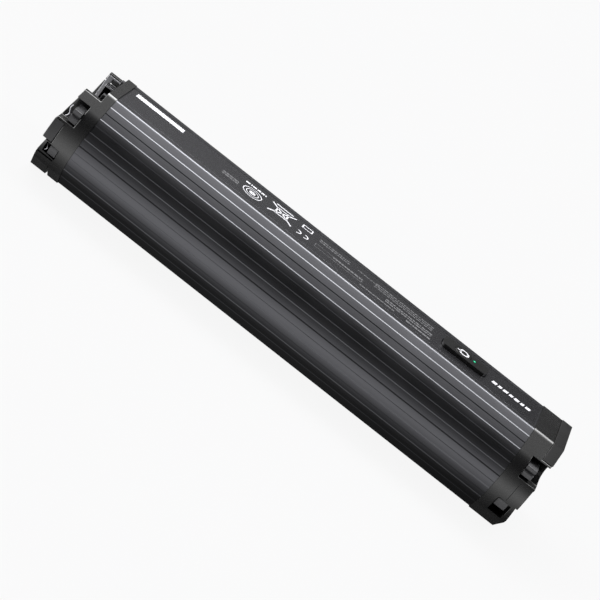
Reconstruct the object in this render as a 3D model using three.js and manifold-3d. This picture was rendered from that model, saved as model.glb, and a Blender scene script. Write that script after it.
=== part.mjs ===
// In-tube lithium-ion battery pack: a ribbed aluminium extrusion with a moulded cap at each end.
// Millimetres. +X runs from the connector end to the closed end, +Z is the outward normal of the
// label face, and the origin is on the resting plane, under the middle of the housing.
import * as THREE from 'three';
import { mergeVertices } from 'three/addons/utils/BufferGeometryUtils.js';
import Module from 'manifold-3d';

const wasm = await Module();
wasm.setup();

// ---------------------------------------------------------------- driving dimensions
const GAP = 0.3;                                  // clearance between pieces that touch

const TUBE_LENGTH = 324;
const HALF_TUBE = TUBE_LENGTH / 2;
const HALF_HEIGHT = 33.25;                        // label face to the section's middle
const LABEL_HALF = 21.5;                          // half width of the flat label face
const SHOULDER = THREE.MathUtils.degToRad(42.9);  // slope of the flats beside the label face
const SIDE_RADIUS = 29.8;                         // round side of the section
const WALL = 2.2;

const FIRST_LAND = 6.4;                           // label edge to the first step in the side
const LAND_PITCH = 5.3;
const LAND_RISE = 0.35;                           // every second land stands this proud
const LAND_RAMP = 0.5;                            // width of the soft step between two lands
const RECESS_HALF = 16.5;                         // shallow channel that holds the label
const RECESS_DEPTH = 0.35;

const CAP_PROUD = 0.6;                            // the caps stand this far outside the housing
const SEAM = 0.2;                                 // gap between a cap and the housing's end
const SPIGOT = 6;                                 // how far a cap reaches into the housing
const SPIGOT_WALL = 2;
const GASKET_ROOM = 0.2;                          // groove around the gasket
const POCKET_DEPTH = 6.5;                         // latch pockets, from the cap's outer face
const BLOCK_SETBACK = 1.5;                        // latch blocks stand this far inside that face
const RECESS_WALL_Y = 24;                         // inner faces of the connector recess

const FRONT_LID = -168.6;                         // outer face of the lid at the connector end
const FRONT_END = -181;                           // ends of the connector recess's walls
const FRONT_TAB = -183.8;                         // ends of the two guide tabs
const REAR_SEAM = 176.6;                          // seam between the closed cap and its cover
const REAR_END = 182.4;
const REAR_COVER_END = 184.6;
const REAR_PAD_END = 183.8;
const COVER_BOTTOM = 24.15;                       // from the section's middle
const REAR_PAD = { y: 34, z: [-7.5, 8.4] };       // raised pads on the closed end's sides
const RECESS_SIDE_TOP = 28.4;                     // top of the recess's side walls
const RECESS_FLOOR = -24;
const TAB = { root: -177, z: [-6.5, 8.2] };

const REAR_EAR = { end: 184.2, hollow: 1.7, z: [8.4, 24.15], innerY: 20 };

// outlines of [x, z] points for shapes that run straight across the pack
const FRONT_EAR = [[-180, 8.5], [-183.2, 8.5], [-183.2, 9.7], [-181.5, 23.4], [-181, 27], [-180, 27]];
const FRONT_LIP = [[-180, -6.8], [-181, -6.8], [-182.6, -17], [-183.6, -40], [-180, -40]];
const REAR_LIP = [[180, -7.5], [182.4, -7.5], [183.8, -20], [183.8, -40], [180, -40]];
const REAR_BEVEL = [[183.8, -22.9], [186, -22.9], [186, -37.8], [180, -37.8]];
const BOTTOM_SLOT = [[-172, -23.5], [-171.9, -35], [-169.9, -35]];
const BOTTOM_SLOT_DEPTH = 3;
const LIP_GROOVE = { end: -170.6, z: [-18.4, -17], depth: 1 };
const STICKER = { x: [-157.3, -120.3], y: [6.1, 12], thick: 0.1 };
const STRIKER = { halfWidth: 10, halfHeight: 8, depth: 8, thick: 1.5 };
const FRONT_COUNTERBORE = 1.6;                    // depth, for the lower screws in front
const REAR_HEAD_SEAT = 4;                         // housing's end to the heads of the rear screws

const SCREW_Y = 19.9;                             // end screws, from the section's middle
const SCREW_Z = 28.9;
const BOSS_RADIUS = 2.4;
const BOSS_BORE = 1.5;
const SCREW_RADIUS = 1.2;
const SCREW_HEAD = 2.5;
const SCREW_HEAD_THICK = 2.4;
const SCREW_LENGTH = 16.4;

const CELL_RADIUS = 9;                            // 18650 cells in rows of three, four and three
const CELL_LENGTH = 65;
const CELLS_IN_LINE = 4;
const CELL_GAP = 2.6;
const CELL_PITCH = 19.4;
const CELL_START = -129;
const CELL_SIDES = 10;

const BEZEL = { x: 103, y: 0.7, length: 34, width: 14.3, frontRadius: 3, rearRadius: 5 };
const BEZEL_TOP = 35.35;                          // above the section's middle
const SKIRT = { halfLength: 14.2, halfWidth: 6.1, bottom: 28.6 };
const BUTTON_Y = 0.9;                             // middle line of the key and the light
const KEY_X = 100.8;
const KEY_LENGTH = 12;
const KEY_WIDTH = 10;
const KEY_TOP = 35.5;
const KEY_BOTTOM = 31.6;
const KEY_FLANGE = { halfLength: 6.8, halfWidth: 5.1, thick: 1.2 };
const KEY_STEM_BOTTOM = 30.3;
const KEY_TRAVEL = 0.8;
const KEY_CLEARANCE = 0.25;
const LED_X = 109.5;
const LED_RADIUS = 1.1;
const PIPE_BOTTOM = 29;
const PIPE_FOOT_TOP = 30.7;

const BOARD_BOTTOM = 26.6;                        // indicator board, above the cells
const BOARD_THICK = 1.2;
const FILM_THICK = 0.15;
const BUSBAR_THICK = 0.4;
const HOLDER_HALF = 3;                            // half thickness of a cell holder
const HOLDER_INSET = 6;                           // cell ends to the outer holders' middles
const LEAD_Y = 9.7;                               // wires run in the hollows between the top cells
const LEAD_Z = 24.5;
const LEAD_ROOM = 2.3;
const BOARD_X = -146;                             // management board, across the housing

// values that follow from them
const MIDDLE = HALF_HEIGHT + CAP_PROUD;           // the section's middle, above the resting plane
const SINE = Math.sin(SHOULDER);
const COSINE = Math.cos(SHOULDER);
const SHOULDER_REACH = LABEL_HALF * SINE + HALF_HEIGHT * COSINE;
const ARC_CENTRE = (SHOULDER_REACH - SIDE_RADIUS) / SINE;
const SWEEP = Math.PI / 2 - SHOULDER;             // half the angle of the round side
const SHOULDER_RUN = (ARC_CENTRE + SIDE_RADIUS * SINE - LABEL_HALF) / COSINE;
const SIDE_RUN = 2 * (SHOULDER_RUN + SIDE_RADIUS * SWEEP);
const CELL_STEP = CELL_LENGTH + CELL_GAP;
const CELL_END = CELL_START + CELLS_IN_LINE * CELL_STEP - CELL_GAP;
const BOARD_TOP = BOARD_BOTTOM + BOARD_THICK;
const SIDES = { right: -1, left: 1 };
const FAR = 200;                                  // along X, beyond every piece
const WIDE = 60;                                  // across and up, beyond every piece

// ---------------------------------------------------------------- solids and booleans
function toSolid(geometry) {
  const bare = geometry.index ? geometry.toNonIndexed() : geometry.clone();
  bare.deleteAttribute('normal');
  bare.deleteAttribute('uv');
  const merged = mergeVertices(bare, 1e-4);
  return new wasm.Manifold(new wasm.Mesh({
    numProp: 3,
    vertProperties: new Float32Array(merged.attributes.position.array),
    triVerts: new Uint32Array(merged.index.array),
  }));
}

function toGeometry(solid) {
  const mesh = solid.getMesh();
  const geometry = new THREE.BufferGeometry();
  geometry.setAttribute('position', new THREE.BufferAttribute(mesh.vertProperties, 3));
  geometry.setIndex(new THREE.BufferAttribute(mesh.triVerts, 1));
  geometry.computeVertexNormals();
  return geometry;
}

function joined(solids) {
  return solids.reduce((whole, piece) => whole.add(piece));
}

function cut(solid, tools) {
  return tools.reduce((rest, tool) => rest.subtract(tool), solid);
}

// an outline of [y, z] points about the section's middle, drawn out along X
function prism(outline, x0, x1) {
  const shape = new THREE.Shape(outline.map(([y, z]) => new THREE.Vector2(y, z)));
  const geometry = new THREE.ExtrudeGeometry(shape, { depth: x1 - x0, bevelEnabled: false });
  const lieAlongX = new THREE.Matrix4().makeBasis(
    new THREE.Vector3(0, 1, 0), new THREE.Vector3(0, 0, 1), new THREE.Vector3(1, 0, 0));
  geometry.applyMatrix4(lieAlongX);
  geometry.translate(x0, 0, MIDDLE);
  return toSolid(geometry);
}

// an outline of [x, z] points about the section's middle, drawn out across the pack
function across(outline) {
  const shape = new THREE.Shape(outline.map(([x, z]) => new THREE.Vector2(x, z)));
  const geometry = new THREE.ExtrudeGeometry(shape, { depth: 2 * WIDE, bevelEnabled: false });
  geometry.rotateX(Math.PI / 2);
  geometry.translate(0, WIDE, MIDDLE);
  return toSolid(geometry);
}

// a box between two corners, with z about the section's middle
function box([x0, x1], [y0, y1], [z0, z1]) {
  const geometry = new THREE.BoxGeometry(x1 - x0, y1 - y0, z1 - z0);
  geometry.translate((x0 + x1) / 2, (y0 + y1) / 2, (z0 + z1) / 2 + MIDDLE);
  return toSolid(geometry);
}

// a round bar along X
function bar(x0, x1, y, z, radius, sides = 16) {
  const geometry = new THREE.CylinderGeometry(radius, radius, x1 - x0, sides);
  geometry.rotateZ(Math.PI / 2);
  geometry.translate((x0 + x1) / 2, y, z + MIDDLE);
  return toSolid(geometry);
}

// a slab with an outline of rounded corners, lying flat
function slab({ x, y, length, width, frontRadius, rearRadius }, z0, z1) {
  const [left, right] = [-length / 2, length / 2];
  const half = width / 2;
  const shape = new THREE.Shape();
  shape.absarc(right - rearRadius, rearRadius - half, rearRadius, -Math.PI / 2, 0, false);
  shape.absarc(right - rearRadius, half - rearRadius, rearRadius, 0, Math.PI / 2, false);
  shape.absarc(left + frontRadius, half - frontRadius, frontRadius, Math.PI / 2, Math.PI, false);
  shape.absarc(left + frontRadius, frontRadius - half, frontRadius, Math.PI, 1.5 * Math.PI, false);
  const options = { depth: z1 - z0, bevelEnabled: false, curveSegments: 5 };
  const geometry = new THREE.ExtrudeGeometry(shape, options);
  geometry.translate(x, y, z0 + MIDDLE);
  return toSolid(geometry);
}

// the same slab grown by a margin all round
function grown(outline, margin) {
  return {
    ...outline,
    length: outline.length + 2 * margin,
    width: outline.width + 2 * margin,
    frontRadius: outline.frontRadius + margin,
    rearRadius: outline.rearRadius + margin,
  };
}

function post(x, y, z0, z1, radius, sides = 12) {
  const geometry = new THREE.CylinderGeometry(radius, radius, z1 - z0, sides);
  geometry.rotateX(Math.PI / 2);
  geometry.translate(x, y, (z0 + z1) / 2 + MIDDLE);
  return toSolid(geometry);
}

// ---------------------------------------------------------------- the cross-section
// the point of the left side at a distance along it from the label edge, moved out by an offset
function sidePoint(run, offset) {
  if (run > SIDE_RUN / 2) {
    const [y, z] = sidePoint(SIDE_RUN - run, offset);
    return [y, -z];
  }
  if (run < SHOULDER_RUN) {
    return [LABEL_HALF + run * COSINE + offset * SINE, HALF_HEIGHT - run * SINE + offset * COSINE];
  }
  const angle = SWEEP - (run - SHOULDER_RUN) / SIDE_RADIUS;
  const radius = SIDE_RADIUS + offset;
  return [ARC_CENTRE + radius * Math.cos(angle), radius * Math.sin(angle)];
}

function mirrored(half) {
  return [...half, ...half.map(([y, z]) => [-y, z]).reverse()];
}

// the plain section, moved out by an offset, or in where it is negative
function section(offset, arcSteps = 12) {
  const corner = LABEL_HALF + offset * (1 - COSINE) / SINE;
  const half = [[corner, HALF_HEIGHT + offset]];
  const arcRun = SIDE_RUN - 2 * SHOULDER_RUN;
  for (let i = 0; i <= arcSteps; i += 1) {
    half.push(sidePoint(SHOULDER_RUN + arcRun * i / arcSteps, offset));
  }
  half.push([corner, -HALF_HEIGHT - offset]);
  return mirrored(half);
}

// the housing's outside: the label channel, then lands that stand proud in turn
function ribbedSection() {
  const half = [
    [RECESS_HALF, HALF_HEIGHT - RECESS_DEPTH],
    [RECESS_HALF, HALF_HEIGHT],
    [LABEL_HALF, HALF_HEIGHT],
  ];
  let level = 0;
  for (let run = FIRST_LAND; run < SIDE_RUN - FIRST_LAND; run += LAND_PITCH) {
    half.push(sidePoint(run - LAND_RAMP / 2, level));
    level = LAND_RISE - level;
    half.push(sidePoint(run + LAND_RAMP / 2, level));
    half.push(sidePoint(run + LAND_PITCH / 2, level));
  }
  half.push([LABEL_HALF, -HALF_HEIGHT]);
  return mirrored(half);
}

function screwPlaces() {
  const places = [];
  for (const [side, y] of Object.entries(SIDES)) {
    places.push({ name: `upper_${side}`, y: y * SCREW_Y, z: SCREW_Z });
    places.push({ name: `lower_${side}`, y: y * SCREW_Y, z: -SCREW_Z });
  }
  return places;
}

function cellPlaces() {
  const rowHeight = CELL_PITCH * Math.sqrt(3) / 2;
  const rows = [[3, rowHeight], [4, 0], [3, -rowHeight]];
  return rows.flatMap(([count, z]) => Array.from({ length: count }, (unused, i) => (
    { y: (i - (count - 1) / 2) * CELL_PITCH, z }
  )));
}

// ---------------------------------------------------------------- housing
function housing() {
  const bosses = screwPlaces().map(({ y, z }) => bar(-HALF_TUBE, HALF_TUBE, y, z, BOSS_RADIUS));
  const bores = screwPlaces().map(({ y, z }) => (
    bar(-HALF_TUBE - 1, HALF_TUBE + 1, y, z, BOSS_BORE, 12)
  ));
  const cavity = cut(prism(section(-WALL), -HALF_TUBE - 1, HALF_TUBE + 1), bosses);
  const hole = { halfLength: SKIRT.halfLength + GAP, halfWidth: SKIRT.halfWidth + GAP };
  const switchHole = box([BEZEL.x - hole.halfLength, BEZEL.x + hole.halfLength],
    [BEZEL.y - hole.halfWidth, BEZEL.y + hole.halfWidth], [HALF_HEIGHT - 4, WIDE]);
  return cut(prism(ribbedSection(), -HALF_TUBE, HALF_TUBE), [cavity, ...bores, switchHole]);
}

// ---------------------------------------------------------------- end caps
// a cap's ring that plugs into the housing, between two x values
function spigot(x0, x1) {
  const outer = prism(section(-WALL - GAP), x0, x1);
  const inner = prism(section(-WALL - GAP - SPIGOT_WALL), x0 - 1, x1 + 1);
  const bossRoom = screwPlaces().map(({ y, z }) => bar(x0 - 1, x1 + 1, y, z, BOSS_RADIUS + GAP));
  return cut(outer, [inner, ...bossRoom]);
}

// a blind notch in the cap's side, as deep as a latch pocket, on both sides at once
function pocket(xRange, zRange) {
  const notch = box(xRange, [-WIDE, WIDE], zRange);
  return notch.subtract(prism(section(CAP_PROUD - POCKET_DEPTH), -FAR, FAR));
}

// the upper pockets are open to the ends, the lower ones closed
const POCKETS = {
  front_upper: { x: [-FAR, -171.2], z: [9.7, 23.4], block: { x: [-177.5, -171.7], z: [10.4, 19.3] } },
  front_lower: { x: [-179.4, -170], z: [-16, -7.7], block: { x: [-176.2, -170.6], z: [-15.2, -8.4] } },
  rear_upper: { x: [171, FAR], z: [9.9, 23.1], block: { x: [171.4, 178.4], z: [11.3, 19.1] } },
  rear_lower: { x: [170, 180], z: [-21.6, -8], block: { x: [170.4, 177.9], z: [-15, -8.5] } },
};
const CONNECTOR = { halfWidth: 12.5, bottom: -13, top: 9 };

function frontCap() {
  const lip = across(FRONT_LIP).intersect(prism(section(CAP_PROUD), -FAR, 0));
  const ears = across(FRONT_EAR).intersect(prism(section(CAP_PROUD), -FAR, 0));
  const body = prism(section(CAP_PROUD), FRONT_END, -HALF_TUBE - SEAM).add(lip).add(ears);
  const topCutback = box([-FAR, FRONT_LID], [-WIDE, WIDE], [RECESS_SIDE_TOP, WIDE]);
  const recess = box([-FAR, FRONT_LID], [-RECESS_WALL_Y, RECESS_WALL_Y], [RECESS_FLOOR, WIDE]);
  const socketHole = box([FRONT_LID - 1, 0], [-CONNECTOR.halfWidth - GAP, CONNECTOR.halfWidth + GAP],
    [CONNECTOR.bottom - GAP, CONNECTOR.top + GAP]);
  const lowerCounterbores = screwPlaces().filter(({ z }) => z < 0).map(({ y, z }) => (
    bar(-FAR, FRONT_LID + FRONT_COUNTERBORE, y, z, SCREW_HEAD + GAP)
  ));
  const shanks = screwPlaces().map(({ y, z }) => (
    bar(-FAR, -HALF_TUBE + 1, y, z, SCREW_RADIUS + GAP, 12)
  ));
  const bottomSlot = across(BOTTOM_SLOT)
    .subtract(prism(section(CAP_PROUD - BOTTOM_SLOT_DEPTH), -FAR, FAR));
  const lipGroove = box([-FAR, LIP_GROOVE.end], [-WIDE, WIDE], LIP_GROOVE.z)
    .subtract(prism(section(CAP_PROUD - LIP_GROOVE.depth), -FAR, FAR));
  const endPockets = [POCKETS.front_upper, POCKETS.front_lower].map(({ x, z }) => pocket(x, z));
  const tabSeat = pocket([-FAR, TAB.root + GAP], [TAB.z[0] - GAP, TAB.z[1] + GAP]);
  return cut(body, [topCutback, recess, socketHole, ...lowerCounterbores, ...shanks, bottomSlot,
    lipGroove, ...endPockets, tabSeat, sealRing(-1, GASKET_ROOM)])
    .add(spigot(-HALF_TUBE - SEAM, -HALF_TUBE + SPIGOT));
}

// the side walls above the raised pads end in a shallow hollow curve
function rearEars() {
  const { end, hollow, z: [low, high], innerY } = REAR_EAR;
  const outline = [[REAR_END - 1, low], [end, low]];
  const start = POCKETS.rear_upper.z[0];
  const steps = 8;
  for (let k = 0; k <= steps; k += 1) {
    const share = k / steps;
    outline.push([end - hollow * Math.sin(Math.PI * share), start + (high - start) * share]);
  }
  outline.push([REAR_END - 1, high]);
  return across(outline).intersect(prism(section(CAP_PROUD), 0, FAR))
    .subtract(box([0, FAR], [-innerY, innerY], [-WIDE, WIDE]));
}

function rearCap() {
  const lip = across(REAR_LIP).intersect(prism(section(CAP_PROUD), 0, FAR));
  const body = prism(section(CAP_PROUD), HALF_TUBE + SEAM, REAR_END).add(lip);
  const pads = prism(section(CAP_PROUD), REAR_END - 1, REAR_PAD_END)
    .intersect(box([0, FAR], [-WIDE, WIDE], REAR_PAD.z))
    .subtract(box([0, FAR], [-REAR_PAD.y, REAR_PAD.y], [-WIDE, WIDE]));
  const coverSeat = box([REAR_SEAM, FAR], [-WIDE, WIDE], [COVER_BOTTOM, WIDE]);
  const lockRecess = box([REAR_END - STRIKER.depth, FAR],
    [-STRIKER.halfWidth, STRIKER.halfWidth], [-STRIKER.halfHeight, STRIKER.halfHeight]);
  const counterbores = screwPlaces().map(({ y, z }) => (
    bar(HALF_TUBE + REAR_HEAD_SEAT, FAR, y, z, SCREW_HEAD + GAP)
  ));
  const shanks = screwPlaces().map(({ y, z }) => (
    bar(HALF_TUBE - 1, FAR, y, z, SCREW_RADIUS + GAP, 12)
  ));
  const hollow = prism(section(-WALL - GAP - SPIGOT_WALL), HALF_TUBE - 1, HALF_TUBE + 3);
  const endPockets = [POCKETS.rear_upper, POCKETS.rear_lower].map(({ x, z }) => pocket(x, z));
  const tools = [coverSeat, across(REAR_BEVEL), lockRecess, hollow, sealRing(1, GASKET_ROOM)];
  return cut(body.add(pads).add(rearEars()), [...tools, ...counterbores, ...shanks, ...endPockets])
    .add(spigot(HALF_TUBE - SPIGOT, HALF_TUBE + SEAM));
}

function rearCover() {
  const full = prism(section(CAP_PROUD), REAR_SEAM + GAP, REAR_COVER_END);
  return full.intersect(box([REAR_SEAM, FAR], [-WIDE, WIDE], [COVER_BOTTOM + GAP, WIDE]));
}

// a ring in the cap's face against the housing's end wall, thicker by what is given as room
function sealRing(end, room = 0) {
  const near = HALF_TUBE + SEAM + 0.1 - room;
  const far = HALF_TUBE + SEAM + 0.9 + room / 2;
  const [x0, x1] = end > 0 ? [near, far] : [-far, -near];
  const outer = prism(section(-0.5 + room), x0, x1);
  return outer.subtract(prism(section(-1.7 - room), x0 - 1, x1 + 1));
}

function halfSpace(side) {
  return side > 0 ? [0, WIDE] : [-WIDE, 0];
}

// a latch block: it fills the pocket's depth but for a step back from the cap's outer face
function latchBlock({ x, z }, side) {
  const band = prism(section(CAP_PROUD - BLOCK_SETBACK), x[0], x[1])
    .subtract(prism(section(CAP_PROUD - POCKET_DEPTH + GAP), -FAR, FAR));
  return band.intersect(box(x, halfSpace(side), z));
}

// a guide tab: it stands out past the cap's end, flush with its sides
function guideTab(side) {
  const band = prism(section(CAP_PROUD), FRONT_TAB, TAB.root)
    .subtract(prism(section(CAP_PROUD - POCKET_DEPTH + GAP), -FAR, 0));
  return band.intersect(box([FRONT_TAB, TAB.root], halfSpace(side), TAB.z));
}

// steel plate on a recess wall: an open frame with an upper and a lower window and a folded bar
function catchPlate(side) {
  const inner = RECESS_WALL_Y - GAP;
  const outline = ([near, far]) => (side > 0 ? [near, far] : [-far, -near]);
  const plate = box([-180.6, -169.4], outline([inner - 1.2, inner]), [6, 27.6]);
  const upperWindow = box([-177, -171.4], outline([inner - 3, inner + 3]), [22.6, 26.6]);
  const lowerWindow = box([-178.2, -171.9], outline([inner - 3, inner + 3]), [9, 20.6]);
  const foldedBar = box([-178.6, -171.4], outline([inner - 3.6, inner - 1]), [20.8, 22.2]);
  return cut(plate, [upperWindow, lowerWindow]).add(foldedBar);
}

function endScrew() {
  const edge = 0.4;
  const profile = [
    [0, -SCREW_HEAD_THICK], [SCREW_HEAD - edge, -SCREW_HEAD_THICK],
    [SCREW_HEAD, edge - SCREW_HEAD_THICK], [SCREW_HEAD, 0],
    [SCREW_RADIUS, 0], [SCREW_RADIUS, SCREW_LENGTH - 1.4], [0, SCREW_LENGTH],
  ];
  const geometry = new THREE.LatheGeometry(profile.map(([r, x]) => new THREE.Vector2(r, x)), 12);
  geometry.rotateZ(-Math.PI / 2);
  const hexSocket = new THREE.CylinderGeometry(1.1, 1.1, SCREW_HEAD_THICK, 6);
  hexSocket.rotateZ(Math.PI / 2);
  hexSocket.translate(-SCREW_HEAD_THICK, 0, 0);
  return toSolid(geometry).subtract(toSolid(hexSocket));
}

// ---------------------------------------------------------------- discharge connector
function connectorShell() {
  const { halfWidth, bottom, top } = CONNECTOR;
  const barrel = box([-176, -152], [-halfWidth, halfWidth], [bottom, top]);
  const flange = box([FRONT_LID - 2.6, FRONT_LID - 1.1], [-16, 16], [bottom - 3.5, top + 3.5]);
  const socket = box([-180, -168], [-halfWidth + 2, halfWidth - 2], [bottom + 2, top - 2]);
  const slots = CONTACTS.map(({ y, halfThick, z }) => (
    box([-180, -140], [y - halfThick - GAP, y + halfThick + GAP], [z[0] - GAP, z[1] + GAP])
  ));
  return cut(barrel.add(flange), [socket, ...slots]);
}

const CONTACTS = [
  { name: 'power_contact_plus', y: -7, halfThick: 0.8, z: [-8.5, 4.5] },
  { name: 'power_contact_minus', y: 7, halfThick: 0.8, z: [-8.5, 4.5] },
  { name: 'data_contact_a', y: -2, halfThick: 0.4, z: [-4, 0] },
  { name: 'data_contact_b', y: 2, halfThick: 0.4, z: [-4, 0] },
];

function contact({ y, halfThick, z }) {
  return box([-174.5, -149], [y - halfThick, y + halfThick], z);
}

function connectorSeal() {
  const { halfWidth, bottom, top } = CONNECTOR;
  const ring = box([FRONT_LID - 0.9, FRONT_LID - 0.2], [-15.5, 15.5], [bottom - 3, top + 3]);
  return ring.subtract(box([-FAR, 0], [-halfWidth - GAP, halfWidth + GAP],
    [bottom - GAP, top + GAP]));
}

// ---------------------------------------------------------------- switch and indicator
const KEY = {
  x: KEY_X,
  y: BUTTON_Y,
  length: KEY_LENGTH,
  width: KEY_WIDTH,
  frontRadius: KEY_WIDTH / 2 - 0.1,
  rearRadius: KEY_WIDTH / 2 - 0.1,
};

function keyBlock(margin, z0, z1) {
  const reach = KEY_FLANGE.halfLength + margin;
  const half = KEY_FLANGE.halfWidth + margin;
  return box([KEY_X - reach, KEY_X + reach], [BUTTON_Y - half, BUTTON_Y + half], [z0, z1]);
}

function bezel() {
  const rim = slab(BEZEL, HALF_HEIGHT - RECESS_DEPTH + 0.1, BEZEL_TOP);
  const skirt = box([BEZEL.x - SKIRT.halfLength, BEZEL.x + SKIRT.halfLength],
    [BEZEL.y - SKIRT.halfWidth, BEZEL.y + SKIRT.halfWidth], [SKIRT.bottom, HALF_HEIGHT]);
  const keyHole = slab(grown(KEY, KEY_CLEARANCE), 0, WIDE);
  const keyRoom = keyBlock(GAP, 0, KEY_BOTTOM + KEY_FLANGE.thick + GAP);
  const pipeHole = post(LED_X, BUTTON_Y, 0, WIDE, LED_RADIUS + GAP);
  const pipeRoom = post(LED_X, BUTTON_Y, 0, PIPE_FOOT_TOP + GAP, LED_RADIUS + 2 * GAP);
  return cut(rim.add(skirt), [keyHole, keyRoom, pipeHole, pipeRoom]);
}

function powerKey() {
  const cap = slab(KEY, KEY_BOTTOM, KEY_TOP);
  const flange = keyBlock(0, KEY_BOTTOM, KEY_BOTTOM + KEY_FLANGE.thick);
  const stem = post(KEY_X, BUTTON_Y, KEY_STEM_BOTTOM, KEY_BOTTOM + 0.5, 2);
  return joined([cap, flange, stem]);
}

function lightPipe() {
  const pipe = post(LED_X, BUTTON_Y, PIPE_BOTTOM, BEZEL_TOP + 0.05, LED_RADIUS);
  return pipe.add(post(LED_X, BUTTON_Y, PIPE_BOTTOM, PIPE_FOOT_TOP, LED_RADIUS + GAP));
}

function tactSwitch() {
  const base = BOARD_TOP + 0.1;
  const body = box([KEY_X - 3, KEY_X + 3], [BUTTON_Y - 3, BUTTON_Y + 3], [base, base + 0.9]);
  return body.add(post(KEY_X, BUTTON_Y, base, KEY_STEM_BOTTOM - KEY_TRAVEL - 0.2, 1.6));
}

// ---------------------------------------------------------------- cells and their frame
function cellString() {
  const profile = [new THREE.Vector2(0, 0)];
  for (let i = 0; i < CELLS_IN_LINE; i += 1) {
    const start = i * CELL_STEP;
    const rim = i === 0 ? [[CELL_RADIUS - 0.5, 0]] : [[4, start], [CELL_RADIUS - 0.5, start]];
    const can = [[CELL_RADIUS, start + 0.5], [CELL_RADIUS, start + CELL_LENGTH]];
    [...rim, ...can].forEach(([r, x]) => profile.push(new THREE.Vector2(r, x)));
    if (i < CELLS_IN_LINE - 1) {
      profile.push(new THREE.Vector2(4, start + CELL_LENGTH));
    }
  }
  profile.push(new THREE.Vector2(0, CELL_END - CELL_START));
  const geometry = new THREE.LatheGeometry(profile, CELL_SIDES);
  geometry.rotateZ(-Math.PI / 2);
  return geometry;
}

function cellHolder(x) {
  const plate = prism(section(-WALL - GAP, 8), x - HOLDER_HALF, x + HOLDER_HALF);
  const through = (y, z, radius, sides) => (
    bar(x - HOLDER_HALF - 1, x + HOLDER_HALF + 1, y, z, radius, sides)
  );
  const holes = cellPlaces().map(({ y, z }) => through(y, z, CELL_RADIUS + GAP, CELL_SIDES));
  const bossRoom = screwPlaces().map(({ y, z }) => through(y, z, BOSS_RADIUS + GAP, 8));
  const leadRoom = [-LEAD_Y, LEAD_Y].map((y) => through(y, LEAD_Z, LEAD_ROOM, 8));
  return cut(plate, [...holes, ...bossRoom, ...leadRoom]);
}

function busbar(x) {
  return prism(section(-11, 6), x, x + BUSBAR_THICK);
}

// a wire of eight sides along a path of [x, y, z] points about the section's middle
function wire(points, radius) {
  const path = new THREE.CatmullRomCurve3(
    points.map(([x, y, z]) => new THREE.Vector3(x, y, z + MIDDLE)), false, 'centripetal');
  const circle = new THREE.Shape();
  circle.absarc(0, 0, radius, 0, 2 * Math.PI, false);
  return new THREE.ExtrudeGeometry(circle, { extrudePath: path, steps: 24, curveSegments: 4 });
}

// ---------------------------------------------------------------- colours
const LOOKS = {
  anodised: { color: 0x2f3033, metalness: 0.9, roughness: 0.35 },
  blackPlastic: { color: 0x141416, metalness: 0, roughness: 0.5 },
  glossBlack: { color: 0x0c0c0e, metalness: 0, roughness: 0.25 },
  greyPlastic: { color: 0x55585c, metalness: 0, roughness: 0.5 },
  steel: { color: 0x9a9ca0, metalness: 1, roughness: 0.3 },
  nickel: { color: 0xb4b2aa, metalness: 1, roughness: 0.35 },
  brass: { color: 0xc09a4a, metalness: 1, roughness: 0.3 },
  rubber: { color: 0x101010, metalness: 0, roughness: 0.85 },
  film: { color: 0x26272a, metalness: 0, roughness: 0.45 },
  sticker: { color: 0xe8e8ea, metalness: 0, roughness: 0.6 },
  board: { color: 0x1d4a2c, metalness: 0, roughness: 0.5 },
  cell: { color: 0x2f7d8c, metalness: 0, roughness: 0.4 },
  redWire: { color: 0xa01818, metalness: 0, roughness: 0.6 },
  blackWire: { color: 0x151515, metalness: 0, roughness: 0.6 },
  lens: { color: 0x9fe8b0, metalness: 0, roughness: 0.1 },
};

// ---------------------------------------------------------------- assembly
const pack = new THREE.Group();
pack.name = 'battery_pack';

function place(group, name, shape, look, position = [0, 0, 0]) {
  const geometry = shape.isBufferGeometry ? shape : toGeometry(shape);
  const mesh = new THREE.Mesh(geometry, new THREE.MeshStandardMaterial(LOOKS[look]));
  mesh.name = name;
  mesh.position.set(...position);
  group.add(mesh);
  return mesh;
}

function subassembly() {
  const group = new THREE.Group();
  pack.add(group);
  return group;
}

// shell, label and sticker
const shell = subassembly();
place(shell, 'extruded_housing', housing(), 'anodised');
const channelFloor = HALF_HEIGHT - RECESS_DEPTH;
const filmEdge = RECESS_HALF - GAP;
const filmBlank = box([-HALF_TUBE + 1, HALF_TUBE - 1], [-filmEdge, filmEdge],
  [channelFloor + 0.1, channelFloor + 0.1 + FILM_THICK]);
const bezelWindow = slab(grown(BEZEL, 0.4), 0, WIDE);
place(shell, 'label_film', filmBlank.subtract(bezelWindow), 'film');
place(shell, 'serial_sticker', box(STICKER.x, STICKER.y,
  [channelFloor + GAP, channelFloor + GAP + STICKER.thick]), 'sticker');

// connector end
const frontEnd = subassembly();
place(frontEnd, 'front_end_cap', frontCap(), 'blackPlastic');
place(frontEnd, 'front_gasket', sealRing(-1), 'rubber');
place(frontEnd, 'connector_shell', connectorShell(), 'glossBlack');
place(frontEnd, 'connector_seal', connectorSeal(), 'rubber');
CONTACTS.forEach((each) => place(frontEnd, each.name, contact(each), 'brass'));

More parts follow.
